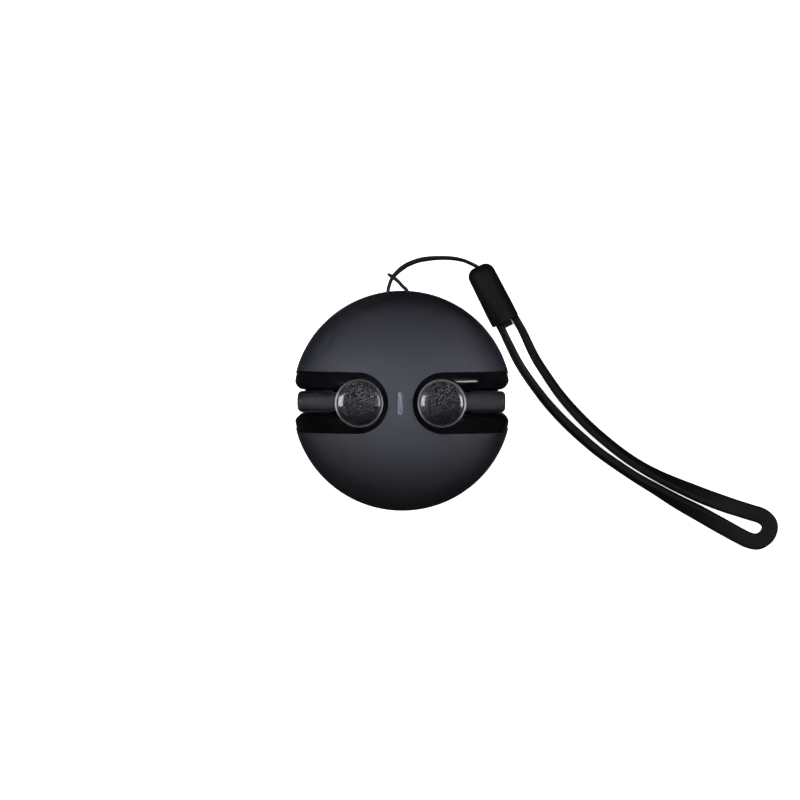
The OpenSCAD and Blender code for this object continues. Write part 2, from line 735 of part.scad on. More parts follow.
// One closed tube through a list of rings, each a list of points
module skin(rings) {
    sides = len(rings[0]);
    last = len(rings) - 1;
    points = [for (ring = rings) each ring];
    lower = [
        for (i = [0:last - 1], j = [0:sides - 1]) let (k = (j + 1) % sides)
            [i * sides + j, i * sides + k, (i + 1) * sides + k]
    ];
    upper = [
        for (i = [0:last - 1], j = [0:sides - 1]) let (k = (j + 1) % sides)
            [i * sides + j, (i + 1) * sides + k, (i + 1) * sides + j]
    ];
    start = [for (j = [sides - 1:-1:0]) j];
    end = [for (j = [0:sides - 1]) last * sides + j];
    polyhedron(points = points, faces = concat([start], lower, upper, [end]), convexity = 8);
}

function place(p) = [p[0], p[1], p[2]];
function unit(v) = v / norm(v);
function heading(route, i) = unit(place(route[min(i + 1, len(route) - 1)]) - place(route[max(i - 1, 0)]));
function side_of(t) = unit(cross(t, [0, 0, 1]));
function up_of(t) = cross(side_of(t), t);
function turned(s, u, a) = cos(a) * s + sin(a) * u;
function carry(s, t) = unit(s - (s * t) * t);

// A side direction at each point of a route, carried along it without twist
function carried_sides(route, s, i = 0) =
    i == len(route) ? [] :
    let (next = carry(s, heading(route, i))) concat([next], carried_sides(route, next, i + 1));

module strap_cord() {
    sides = 8;
    across = carried_sides(cord_route, side_of(heading(cord_route, 0)));
    rings = [
        for (i = [0:len(cord_route) - 1]) let (s = across[i], u = cross(s, heading(cord_route, i)))
            [for (j = [0:sides - 1]) cord_route[i] + cord_d / 2 * turned(s, u, 360 * j / sides)]
    ];
    color([0.1, 0.1, 0.11]) skin(rings);
}

// Half section of the band: width along the first axis, thickness along the second
function band_section() = let (a = band_w / 2, b = band_t / 2, c = 0.8)
    [[a, b - c], [a - c, b], [c - a, b], [-a, b - c], [-a, c - b], [c - a, -b], [a - c, -b], [a, c - b]];

module strap_loop() {
    rings = [
        for (i = [0:len(band_route) - 1])
            let (t = heading(band_route, i), s = side_of(t), u = up_of(t), roll = band_route[i][3],
                wide = turned(u, s, roll), thick = turned(u, s, roll + 90))
            [for (p = band_section()) place(band_route[i]) + p[0] * wide - p[1] * thick]
    ];
    color([0.1, 0.1, 0.11]) skin(rings);
}

module strap_sleeve() {
    dome_r = 2.6;
    top_r = sleeve_top_d / 2;
    mouth_step = 0.4;
    web_l = 1.6;
    web_y = [-1.6, 0.8];
    web_h = 3;
    dome = [for (a = [0:15:90]) [top_r - dome_r + dome_r * cos(a), sleeve_l - dome_r + dome_r * sin(a)]];
    color([0.1, 0.1, 0.11]) translate(sleeve_at) rotate([0, 90, sleeve_turn]) difference() {
        union() {
            rotate_extrude() polygon(concat(
                [[0, 0], [sleeve_d / 2 - mouth_step, 0], [sleeve_d / 2, mouth_step]], dome, [[0, sleeve_l]]
            ));
            translate([-web_h / 2, web_y[0], -web_l]) cube([web_h, web_y[1] - web_y[0], web_l + eps]);
        }
        translate([0, 0, sleeve_l - sleeve_bore_l]) cylinder(r = sleeve_bore_r, h = sleeve_bore_l + 1);
    }
}

front_shell();
back_shell();
light_pipe();
cradle(left);  // left_cradle
cradle(right);  // right_cradle
dock_magnets(left);  // left_dock_magnets
dock_magnets(right);  // right_dock_magnets
charging_board();
board_chips();
indicator_led();
usb_socket();
usb_tongue();
battery_cell();
battery_pad();
battery_leads();
case_screws();
pin_barrels(left);  // left_pin_barrels
pin_barrels(right);  // right_pin_barrels
charging_pin(left, inner_pin_x);  // left_inner_pin
charging_pin(left, outer_pin_x);  // left_outer_pin
charging_pin(right, inner_pin_x);  // right_inner_pin
charging_pin(right, outer_pin_x);  // right_outer_pin
touch_key(left);  // left_touch_key
key_ring(left);  // left_key_ring
head_cover(left);  // left_head_cover
head_body(left);  // left_head_body
stem_tube(left);  // left_stem_tube
ear_tip(left);  // left_ear_tip
sound_mesh(left);  // left_sound_mesh
driver(left);  // left_driver
ear_cell(left);  // left_ear_cell
ear_board(left);  // left_ear_board
key_switch(left);  // left_key_switch
microphone(left);  // left_microphone
contacts(left);  // left_contacts
touch_key(right);  // right_touch_key
key_ring(right);  // right_key_ring
head_cover(right);  // right_head_cover
head_body(right);  // right_head_body
stem_tube(right);  // right_stem_tube
ear_tip(right);  // right_ear_tip
sound_mesh(right);  // right_sound_mesh
driver(right);  // right_driver
ear_cell(right);  // right_ear_cell
ear_board(right);  // right_ear_board
key_switch(right);  // right_key_switch
microphone(right);  // right_microphone
contacts(right);  // right_contacts
strap_cord();
strap_sleeve();
strap_loop();
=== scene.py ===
"""Finished look of a round charging case with a pair of stem-type earphones and its wrist strap.

Every piece is built over the frame's nodes, in metres, at the place where the frame has them.
"""

import math

import bmesh
import bpy
from bpy.props import FloatProperty, FloatVectorProperty, PointerProperty
from mathutils import Matrix, Vector


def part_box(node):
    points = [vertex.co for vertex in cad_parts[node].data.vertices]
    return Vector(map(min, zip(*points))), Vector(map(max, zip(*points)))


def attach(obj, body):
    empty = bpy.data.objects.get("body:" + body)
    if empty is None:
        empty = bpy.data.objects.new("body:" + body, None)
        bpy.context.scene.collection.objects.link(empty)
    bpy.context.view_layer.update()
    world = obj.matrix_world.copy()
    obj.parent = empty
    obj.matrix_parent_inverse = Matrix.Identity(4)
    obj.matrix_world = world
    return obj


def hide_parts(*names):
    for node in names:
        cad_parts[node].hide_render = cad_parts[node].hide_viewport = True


bl_info = {
    "name": "Round Earphone Case",
    "version": (1, 0, 0),
    "blender": (4, 5, 0),
    "location": "3D View > Sidebar > Earphone Case",
    "description": "Builds the finished look of a round earphone charging case over its frame",
    "category": "Object",
}

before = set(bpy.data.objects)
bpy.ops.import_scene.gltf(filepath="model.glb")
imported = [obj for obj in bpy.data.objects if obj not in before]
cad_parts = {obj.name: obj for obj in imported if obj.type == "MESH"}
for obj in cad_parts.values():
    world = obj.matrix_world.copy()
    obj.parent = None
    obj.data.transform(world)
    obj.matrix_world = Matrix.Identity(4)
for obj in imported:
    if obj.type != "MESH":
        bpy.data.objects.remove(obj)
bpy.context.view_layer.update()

MM = 0.001
SIDES = ("left", "right")

# Heights and radii that the frame gives
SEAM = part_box("back_shell")[1].z
CASE_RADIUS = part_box("back_shell")[1].y
CROWN_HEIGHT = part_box("light_pipe")[1].z - SEAM


class EARPHONE_CASE_Sizes(bpy.types.PropertyGroup):
    """Sizes that belong to the finish and not to the frame"""

    rim_round: FloatProperty(
        name="Rim round",
        description="Radius of the case's rim in section, where its two crowns meet",
        default=12 * MM,
        unit="LENGTH",
    )
    shell_edge: FloatProperty(
        name="Shell edge",
        description="Rounding of the shells' edges",
        default=0.2 * MM,
        unit="LENGTH",
    )
    cradle_edge: FloatProperty(
        name="Cradle edge",
        description="Rounding of the glossy cradles' edges",
        default=0.12 * MM,
        unit="LENGTH",
    )
    stem_edge: FloatProperty(
        name="Stem edge",
        description="Rounding of the edges on the earphones' shells",
        default=0.16 * MM,
        unit="LENGTH",
    )
    trim_edge: FloatProperty(
        name="Trim edge",
        description="Rounding of the edges on small trim",
        default=0.05 * MM,
        unit="LENGTH",
    )
    key_roll_width: FloatProperty(
        name="Key roll width",
        description="Width of the touch keys' rolled-off edge",
        default=2.4 * MM,
        unit="LENGTH",
    )
    key_roll_radius: FloatProperty(
        name="Key roll radius",
        description="Radius of that edge in section",
        default=6 * MM,
        unit="LENGTH",
    )
    cord_diameter: FloatProperty(
        name="Cord diameter",
        description="Diameter of the thin cord",
        default=1 * MM,
        unit="LENGTH",
    )
    band_width: FloatProperty(
        name="Band width",
        description="Width of the wrist loop's band",
        default=4.5 * MM,
        unit="LENGTH",
    )
    band_thickness: FloatProperty(
        name="Band thickness",
        description="Thickness of the wrist loop's band",
        default=2.2 * MM,
        unit="LENGTH",
    )
    sleeve_diameter: FloatProperty(
        name="Sleeve diameter",
        description="Diameter of the strap's sleeve at the loop's end",
        default=8 * MM,
        unit="LENGTH",
    )
    sleeve_top_diameter: FloatProperty(
        name="Sleeve top diameter",
        description="Diameter of the sleeve at its domed end",
        default=7.5 * MM,
        unit="LENGTH",
    )
    sleeve_length: FloatProperty(
        name="Sleeve length",
        description="Length of the strap's sleeve",
        default=17 * MM,
        unit="LENGTH",
    )


def colour_property(name, description, default):
    return FloatVectorProperty(
        name=name, description=description, default=default, size=3, min=0, max=1, subtype="COLOR"
    )


class EARPHONE_CASE_Colours(bpy.types.PropertyGroup):
    """Colours of the finishes"""

    shell: colour_property("Shell", "Soft-touch coat of both shells", (0.0055, 0.0059, 0.0079))
    cradle: colour_property("Cradle", "Gloss black of the cradles", (0.0005, 0.0005, 0.0006))
    stem: colour_property("Stem", "Satin plastic of the earphones", (0.0062, 0.0062, 0.0072))
    key: colour_property("Key", "Ground colour of the touch keys", (0.0012, 0.0012, 0.0015))
    sparkle: colour_property("Sparkle", "Flakes in the touch keys", (0.036, 0.036, 0.038))
    ring: colour_property("Ring", "Bright metal of the key rings", (0.36, 0.36, 0.37))
    silicone: colour_property("Silicone", "Silicone of the ear tips", (0.012, 0.012, 0.013))
    strap: colour_property("Strap", "Silicone of the wrist strap", (0.003, 0.003, 0.0034))
    cord: colour_property("Cord", "Yarn of the thin cord", (0.004, 0.004, 0.004))
    lens: colour_property("Lens", "Frosted indicator bar", (0.032, 0.032, 0.043))


class EARPHONE_CASE_Stage(bpy.types.PropertyGroup):
    """Camera and light"""

    camera_distance: FloatProperty(
        name="Camera distance",
        description="From the camera to the case's seam",
        default=0.9,
        unit="LENGTH",
    )
    view_width: FloatProperty(
        name="View width",
        description="Width that the camera takes in at the case's seam",
        default=217.8 * MM,
        unit="LENGTH",
    )
    light_power: FloatProperty(
        name="Light power",
        description="Power of each softbox in watts",
        default=3.3,
        min=0,
    )
    pool_power: FloatProperty(
        name="Pool power",
        description="Power of the lamp above the case in watts",
        default=0.043,
        min=0,
    )
    floor_colour: colour_property("Floor", "Pale floor", (0.93, 0.93, 0.93))


# ---------------------------------------------------------------- meshes


def add_piece(name, mesh, body, finish):
    """Links a finished mesh as a piece that rides on a body."""
    piece = bpy.data.objects.new(name, mesh)
    bpy.context.scene.collection.objects.link(piece)
    mesh.materials.clear()
    mesh.materials.append(finish)
    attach(piece, body)
    return piece


def mesh_from(bm, name):
    mesh = bpy.data.meshes.new(name)
    bm.to_mesh(mesh)
    bm.free()
    mesh.shade_smooth()
    return mesh


def round_edges(bm, radius, segments=2, sharper_than=35):
    """Rounds every edge whose faces meet at more than an angle in degrees."""
    limit = math.radians(sharper_than)
    edges = [edge for edge in bm.edges if edge.calc_face_angle(0) > limit]
    bmesh.ops.bevel(
        bm,
        geom=edges,
        offset=radius,
        offset_type="OFFSET",
        segments=segments,
        profile=0.5,
        affect="EDGES",
        clamp_overlap=True,
        material=-1,
    )


def softened(name, node, radius, segments=2):
    """A copy of one node's mesh with its doubles merged and its sharp edges rounded."""
    bm = bmesh.new()
    bm.from_mesh(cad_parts[node].data)
    bmesh.ops.remove_doubles(bm, verts=bm.verts, dist=0.001 * MM)
    bmesh.ops.dissolve_limit(
        bm, angle_limit=math.radians(0.3), verts=bm.verts, edges=bm.edges
    )
    round_edges(bm, radius, segments)
    mesh = mesh_from(bm, name)
    stored = mesh.attributes.get("custom_normal")
    if stored:
        mesh.attributes.remove(stored)
    return mesh


def wrapped_grid(columns, rows, place):
    """A grid of quads with each corner carried to place(u, v), where u and v run from 0 to 1."""
    bm = bmesh.new()
    bm.loops.layers.uv.new("UVMap")
    bmesh.ops.create_grid(bm, x_segments=columns, y_segments=rows, size=1, calc_uvs=True)
    for vert in bm.verts:
        vert.co = place((vert.co.x + 1) / 2, (vert.co.y + 1) / 2)
    return bm


def spun(outline, rounds, centre, steps=96, closed=False):
    """Spins an outline of (radius, height) points round a vertical axis through centre.

    rounds gives (point numbers, radius, segments) for the corners to round first.
    """
    bm = bmesh.new()
    corners = [bm.verts.new((radius, 0, height)) for radius, height in outline]
    pairs = list(zip(corners, corners[1:]))
    if closed:
        pairs.append((corners[-1], corners[0]))
    for pair in pairs:
        bm.edges.new(pair)
    for numbers, radius, segments in rounds:
        bmesh.ops.bevel(
            bm,
            geom=[corners[number] for number in numbers],
            offset=radius,
            offset_type="OFFSET",
            segments=segments,
            profile=0.5,
            affect="VERTICES",
            clamp_overlap=False,
            material=-1,
        )
    bmesh.ops.spin(
        bm,
        geom=bm.verts[:] + bm.edges[:],
        cent=(0, 0, 0),
        axis=(0, 0, 1),
        angle=math.tau,
        steps=steps,
        use_merge=True,
    )
    bmesh.ops.remove_doubles(bm, verts=bm.verts, dist=0.001 * MM)
    bmesh.ops.recalc_face_normals(bm, faces=bm.faces)
    bmesh.ops.translate(bm, vec=centre, verts=bm.verts)
    return bm


def even_shading(piece, sharper_than=50):
    """Keeps flat faces flat beside their rounded edges."""
    piece.data.set_sharp_from_angle(angle=math.radians(sharper_than))
    weigh = piece.modifiers.new("Even shading", "WEIGHTED_NORMAL")
    weigh.keep_sharp = True
    return piece


def outline_normal(point, inset):
    """Outward normal where a point lies on the case's outline moved in by an inset, or None."""
    sizes = bpy.context.scene.earphone_case_sizes
    rim = sizes.rim_round
    rim_x = CASE_RADIUS - rim
    crown = (rim_x**2 + CROWN_HEIGHT**2 - rim**2) / (2 * (CROWN_HEIGHT - rim))
    drop = crown - CROWN_HEIGHT
    out = Vector((point.x, point.y, 0))
    reach = out.length
    height = abs(point.z - SEAM)
    up = 1 if point.z > SEAM else -1
    if reach * drop <= rim_x * (height + drop):
        span = math.hypot(reach, height + drop)
        off = span - (crown - inset)
        lean, rise = reach / span, (height + drop) / span
    else:
        span = math.hypot(reach - rim_x, height)
        off = span - (rim - inset)
        lean, rise = (reach - rim_x) / span, height / span
    if abs(off) > 0.03 * MM:
        return None
    flat = out.normalized() if reach else Vector((0, 0, 0))
    return (flat * lean + Vector((0, 0, up * rise))).normalized()


def follow_outline(piece, inset):
    """Gives the corners on the case's outline the outline's own normals."""
    graph = bpy.context.evaluated_depsgraph_get()
    shaded = piece.evaluated_get(graph).to_mesh()
    normals = [corner.vector.copy() for corner in shaded.corner_normals]
    mesh = piece.data
    for polygon in mesh.polygons:
        for loop, vert in zip(polygon.loop_indices, polygon.vertices):
            normal = outline_normal(mesh.vertices[vert].co, inset)
            if normal and normal.dot(polygon.normal) > 0.7:
                normals[loop] = normal
    piece.modifiers.clear()
    mesh.normals_split_custom_set(normals)
    return piece


# ---------------------------------------------------------------- finishes


class Finish:
    """A material under way: its shader, and patterns measured in millimetres."""

    def __init__(self, name, colour, roughness, **sockets):
        self.material = bpy.data.materials.new(name)
        self.material.use_nodes = True
        self.tree = self.material.node_tree
        self.shader = self.tree.nodes["Principled BSDF"]
        self.shader.inputs["Base Color"].default_value = (*colour, 1)
        self.shader.inputs["Roughness"].default_value = roughness
        for socket, value in sockets.items():
            self.shader.inputs[socket.replace("_", " ")].default_value = value
        self.material.diffuse_color = (*colour, 1)

    def node(self, kind, **settings):
        made = self.tree.nodes.new(kind)
        for key, value in settings.items():
            setattr(made, key, value)
        return made

    def link(self, source, node, socket):
        self.tree.links.new(source, node.inputs[socket])

    def place(self, stretch=(1, 1, 1), uv=False):
        """Coordinates in millimetres, on the piece or along its own UV map."""
        coordinates = self.node("ShaderNodeTexCoord")
        mapping = self.node("ShaderNodeMapping")
        mapping.inputs["Scale"].default_value = [1000 * s for s in stretch]
        self.link(coordinates.outputs["UV" if uv else "Object"], mapping, "Vector")
        return mapping.outputs["Vector"]

    def noise(self, place, size, detail=2.0, roughness=0.5):
        """Cloudy pattern with clouds of a size in millimetres."""
        made = self.node("ShaderNodeTexNoise")
        made.inputs["Scale"].default_value = 1 / size
        made.inputs["Detail"].default_value = detail
        made.inputs["Roughness"].default_value = roughness
        self.link(place, made, "Vector")
        return made.outputs["Fac"]

    def cells(self, place, size, feature="F1", output="Distance"):
        made = self.node("ShaderNodeTexVoronoi", feature=feature)
        made.inputs["Scale"].default_value = 1 / size
        self.link(place, made, "Vector")
        return made.outputs[output]

    def waves(self, place, size, direction="X", distortion=0.0):
        made = self.node("ShaderNodeTexWave", bands_direction=direction)
        made.inputs["Scale"].default_value = 0.314 / size
        made.inputs["Distortion"].default_value = distortion
        self.link(place, made, "Vector")
        return made.outputs["Fac"]

    def spread(self, value, low, high, to_low=0.0, to_high=1.0):
        """Stretches a pattern's values from one range to another."""
        made = self.node("ShaderNodeMapRange")
        sockets = ("From Min", "From Max", "To Min", "To Max")
        for socket, number in zip(sockets, (low, high, to_low, to_high)):
            made.inputs[socket].default_value = number
        self.link(value, made, "Value")
        return made.outputs["Result"]

    def combine(self, first, second, operation="MULTIPLY"):
        made = self.node("ShaderNodeMath", operation=operation)
        self.tree.links.new(first, made.inputs[0])
        self.tree.links.new(second, made.inputs[1])
        return made.outputs["Value"]

    def colour(self, value, dark, light):
        """Base colour between two colours, by a pattern's value."""
        made = self.node("ShaderNodeValToRGB")
        made.color_ramp.elements[0].color = (*dark, 1)
        made.color_ramp.elements[1].color = (*light, 1)
        self.link(value, made, "Fac")
        self.link(made.outputs["Color"], self.shader, "Base Color")
        return self

    def roughness(self, value, low, high):
        self.link(self.spread(value, 0.3, 0.7, low, high), self.shader, "Roughness")
        return self

    def relief(self, value, depth, strength=1.0):
        """Bumps of a depth in millimetres."""
        made = self.node("ShaderNodeBump")
        made.inputs["Strength"].default_value = strength
        made.inputs["Distance"].default_value = depth * MM
        self.link(value, made, "Height")
        self.link(made.outputs["Normal"], self.shader, "Normal")
        return self


def shade_of(colour, share):
    """The same colour, lighter or darker."""
    return tuple(min(1, channel * share) for channel in colour)


def soft_touch_coat():
    colour = bpy.context.scene.earphone_case_colours.shell
    coat = Finish("soft_touch_coat", colour, 0.57)
    place = coat.place()
    coat.colour(coat.noise(place, 9, 3), shade_of(colour, 0.93), shade_of(colour, 1.07))
    coat.roughness(coat.noise(place, 4, 3), 0.55, 0.59)
    coat.relief(coat.noise(place, 0.09, 2), 0.004, 0.35)
    return coat.material


def piano_black():
    colour = bpy.context.scene.earphone_case_colours.cradle
    gloss = Finish("piano_black", colour, 0.05)
    place = gloss.place()
    gloss.colour(gloss.noise(place, 6), shade_of(colour, 0.9), shade_of(colour, 1.1))
    gloss.roughness(gloss.noise(place, 1.2, 4), 0.035, 0.065)
    gloss.relief(gloss.noise(place, 2.5), 0.0012, 0.2)
    return gloss.material


def satin_plastic():
    colour = bpy.context.scene.earphone_case_colours.stem
    satin = Finish("satin_plastic", colour, 0.36)
    place = satin.place()
    satin.colour(satin.noise(place, 3), shade_of(colour, 0.92), shade_of(colour, 1.08))
    satin.roughness(satin.noise(place, 0.8, 3), 0.33, 0.39)
    satin.relief(satin.noise(place, 0.07), 0.003, 0.4)
    return satin.material


def sparkle_glass():
    colours = bpy.context.scene.earphone_case_colours
    glass = Finish(
        "sparkle_glass",
        colours.key,
        0.32,
        Specular_IOR_Level=0.15,
        Coat_Weight=1.0,
        Coat_Roughness=0.04,
    )
    place = glass.place()
    flakes = glass.spread(glass.cells(place, 0.25, output="Color"), 0.5, 0.85)
    clumps = glass.spread(glass.noise(place, 0.9, 4, 0.7), 0.3, 0.6)
    # The flakes are the key's own pattern, but their fading darker towards the bottom is painted
    # light, as if the lamps caught only their upper half
    axes = glass.node("ShaderNodeSeparateXYZ")
    glass.link(place, axes, "Vector")
    painted_top_light = glass.spread(axes.outputs["Y"], -3.5, 2.5, 0.03, 1.0)
    glass.colour(glass.combine(glass.combine(flakes, clumps), painted_top_light), colours.key, colours.sparkle)
    glass.roughness(glass.noise(place, 0.4, 3), 0.26, 0.4)
    return glass.material


def bright_metal():
    colour = bpy.context.scene.earphone_case_colours.ring
    metal = Finish("bright_metal", colour, 0.34, Metallic=1.0)
    place = metal.place()
    metal.colour(metal.noise(place, 3), shade_of(colour, 0.94), shade_of(colour, 1.04))
    metal.roughness(metal.noise(place, 1.5, 3), 0.31, 0.37)
    return metal.material


def ear_silicone():
    colour = bpy.context.scene.earphone_case_colours.silicone
    rubber = Finish("ear_silicone", colour, 0.55, Sheen_Weight=0.15, Sheen_Roughness=0.4)
    place = rubber.place()
    rubber.colour(rubber.noise(place, 2), shade_of(colour, 0.85), shade_of(colour, 1.15))
    rubber.roughness(rubber.noise(place, 0.5, 3), 0.5, 0.6)
    rubber.relief(rubber.noise(place, 0.1), 0.004, 0.4)
    return rubber.material


def strap_silicone():
    colour = bpy.context.scene.earphone_case_colours.strap
    rubber = Finish("strap_silicone", colour, 0.66, Specular_IOR_Level=0.22)
    place = rubber.place()
    rubber.colour(rubber.noise(place, 5, 4), shade_of(colour, 0.8), shade_of(colour, 1.25))
    rubber.roughness(rubber.noise(place, 0.7, 4), 0.6, 0.72)
    rubber.relief(rubber.noise(place, 0.16, 3, 0.6), 0.012, 0.5)
    return rubber.material


def braided_yarn():
    """Two sets of slanting strands that cross along the cord."""
    colour = bpy.context.scene.earphone_case_colours.cord
    yarn = Finish("braided_yarn", colour, 0.5, Specular_IOR_Level=0.3)
    place = yarn.place(uv=True)
    strands = []
    for turn in (-1, 1):
        slant = yarn.node("ShaderNodeMapping")
        slant.inputs["Rotation"].default_value = (0, 0, turn * math.radians(40))
        yarn.link(place, slant, "Vector")
        strands.append(yarn.waves(slant.outputs["Vector"], 0.32))
    weave = yarn.combine(strands[0], strands[1], "MAXIMUM")
    yarn.colour(weave, shade_of(colour, 0.5), shade_of(colour, 1.7))
    yarn.roughness(weave, 0.45, 0.6)
    yarn.relief(weave, 0.04, 0.8)
    return yarn.material


def frosted_bar():
    colour = bpy.context.scene.earphone_case_colours.lens
    frost = Finish("frosted_bar", colour, 0.42, Subsurface_Weight=0.3, Subsurface_Scale=0.5 * MM)
    place = frost.place()
    frost.colour(frost.noise(place, 0.6), shade_of(colour, 0.94), shade_of(colour, 1.06))
    frost.roughness(frost.noise(place, 0.15, 3), 0.36, 0.48)
    return frost.material


def gold_plate():
    colour = (0.86, 0.58, 0.22)
    gold = Finish("gold_plate", colour, 0.25, Metallic=1.0)
    place = gold.place()
    gold.colour(gold.noise(place, 0.3), shade_of(colour, 0.85), shade_of(colour, 1.1))
    gold.roughness(gold.noise(place, 0.1, 3), 0.18, 0.34)
    return gold.material


def drawn_steel():
    """Steel with fine lines along one way from its drawing."""
    colour = (0.56, 0.57, 0.58)
    steel = Finish("drawn_steel", colour, 0.28, Metallic=1.0)
    lines = steel.noise(steel.place((9, 0.6, 9)), 1, 3)
    steel.colour(lines, shade_of(colour, 0.8), shade_of(colour, 1.1))
    steel.roughness(lines, 0.2, 0.38)
    steel.relief(lines, 0.002, 0.3)
    return steel.material


def nickel_plate():
    colour = (0.66, 0.63, 0.58)
    nickel = Finish("nickel_plate", colour, 0.22, Metallic=1.0)
    place = nickel.place()
    nickel.colour(nickel.noise(place, 1.5, 3), shade_of(colour, 0.85), shade_of(colour, 1.05))
    nickel.roughness(nickel.noise(place, 0.3, 4), 0.16, 0.32)
    return nickel.material


def solder_mask():
    """Green board lacquer over copper tracks."""
    board = Finish("solder_mask", (0.01, 0.09, 0.035), 0.3)
    place = board.place()
    tracks = board.spread(board.cells(place, 2.4, "DISTANCE_TO_EDGE"), 0.06, 0.1)
    board.colour(tracks, (0.03, 0.2, 0.07), (0.008, 0.08, 0.03))
    board.roughness(board.noise(place, 0.8, 3), 0.25, 0.36)
    board.relief(tracks, -0.02, 0.6)
    return board.material


def chip_epoxy():
    chip = Finish("chip_epoxy", (0.012, 0.012, 0.013), 0.5)
    place = chip.place()
    chip.colour(chip.noise(place, 0.3, 4), (0.009, 0.009, 0.01), (0.018, 0.018, 0.019))
    chip.roughness(chip.noise(place, 0.2, 3), 0.42, 0.58)
    chip.relief(chip.noise(place, 0.08, 2), 0.006, 0.5)
    return chip.material


def cell_foil():
    """Aluminium pouch foil with its soft creases."""
    foil = Finish("cell_foil", (0.62, 0.63, 0.65), 0.33, Metallic=0.9)
    place = foil.place()
    creases = foil.noise(place, 2.2, 5, 0.6)
    foil.colour(creases, (0.5, 0.51, 0.53), (0.72, 0.73, 0.75))
    foil.roughness(creases, 0.26, 0.42)
    foil.relief(creases, 0.08, 0.6)
    return foil.material


def pad_foam():
    foam = Finish("pad_foam", (0.36, 0.36, 0.37), 0.9)
    pores = foam.spread(foam.cells(foam.place(), 0.45), 0.1, 0.6)
    foam.colour(pores, (0.22, 0.22, 0.23), (0.46, 0.46, 0.47))
    foam.relief(pores, 0.12, 0.8)
    return foam.material


def lead_insulation():
    lead = Finish("lead_insulation", (0.35, 0.02, 0.015), 0.4)
    place = lead.place()
    lead.colour(lead.noise(place, 0.8), (0.3, 0.015, 0.012), (0.4, 0.025, 0.02))
    lead.roughness(lead.noise(place, 0.3, 3), 0.34, 0.46)
    return lead.material


def lamp_phosphor():
    lamp = Finish("lamp_phosphor", (0.75, 0.72, 0.35), 0.45)
    place = lamp.place()
    lamp.colour(lamp.noise(place, 0.2, 3), (0.7, 0.66, 0.28), (0.82, 0.8, 0.45))
    lamp.roughness(lamp.noise(place, 0.1), 0.4, 0.5)
    return lamp.material


def woven_wire():
    """Fine wire cloth over the nozzle."""
    wire = Finish("woven_wire", (0.4, 0.4, 0.41), 0.35, Metallic=0.9)
    place = wire.place()
    weave = wire.combine(wire.waves(place, 0.22), wire.waves(place, 0.22, "Y"))
    wire.colour(weave, (0.03, 0.03, 0.03), (0.55, 0.55, 0.56))
    wire.roughness(weave, 0.5, 0.3)
    wire.relief(weave, 0.05, 0.8)
    return wire.material


FINISHES = {
    "shell": soft_touch_coat,
    "cradle": piano_black,
    "key": sparkle_glass,
    "ring": bright_metal,
    "stem": satin_plastic,
    "silicone": ear_silicone,
    "strap": strap_silicone,
    "cord": braided_yarn,
    "lens": frosted_bar,
    "board": solder_mask,
    "chip": chip_epoxy,
    "led": lamp_phosphor,
    "steel": drawn_steel,
    "nickel": nickel_plate,
    "gold": gold_plate,
    "foil": cell_foil,
    "foam": pad_foam,
    "lead": lead_insulation,
    "mesh": woven_wire,
}


def finish_of(slot):
    """The finish of one kind, made once and shared by its pieces."""
    maker = FINISHES[slot]
    return bpy.data.materials.get(maker.__name__) or maker()


# ---------------------------------------------------------------- strap routes

# The thin cord: from the sleeve to the case, twice through the holes and back
CORD_ROUTE = [
    Vector(point) * MM
    for point in (
        (22.15, 33.2, 3.45), (21.3, 34.9, 3.45), (20.35, 36.35, 3.5), (19.05, 37.1, 4),
        (17.7, 37.75, 5.05), (15.85, 38.3, 6.8), (13.15, 38.7, 9.15), (9.9, 38.75, 11.55),
        (6.95, 38.45, 13.55), (4.2, 37.9, 15.1), (1.6, 36.85, 16.3), (0.1, 35.85, 16.75),
        (-1.15, 34.85, 17.05), (-2.4, 33.65, 17.2), (-3, 32.55, 17.3), (-3.4, 31.35, 17.4),
        (-3.7, 29.9, 17.45), (-3.5, 27.2, 17.45), (-2.8, 25.5, 17.45), (-1.1, 24.8, 17.45),
        (0.6, 25.5, 17.45), (1.3, 27.2, 17.45), (1.4, 29.9, 17.45), (0.3, 31.1, 17),
        (-0.9, 32.4, 16.4), (-2.3, 33.65, 15.95), (-3.25, 34.15, 16.5), (-3.5, 34.3, 17.75),
        (-3.25, 34.15, 19), (-2.3, 33.65, 19.55), (-0.9, 32.4, 19), (0.3, 31.1, 18.7),
        (1.4, 29.9, 18.55), (1.3, 27.2, 18.55), (0.6, 25.5, 18.55), (-1.1, 24.8, 18.55),
        (-2.8, 25.5, 18.55), (-3.5, 27.2, 18.55), (-3.7, 29.9, 18.55), (-3.4, 31.45, 18.5),
        (-3, 32.65, 18.4), (-2.4, 33.75, 18.3), (-1.25, 35.15, 18.15), (0.1, 36.35, 17.85),
        (1.8, 37.35, 17.3), (4.6, 38.4, 16.1), (7.45, 38.85, 14.45), (10.5, 38.95, 12.45),
        (13.85, 38.8, 10.05), (16.55, 38.2, 7.6), (18.3, 37.45, 5.95), (19.55, 36.9, 5),
        (20.45, 36.25, 4.6), (21.3, 34.9, 4.55), (22.15, 33.2, 4.55),
    )
]  # fmt: skip

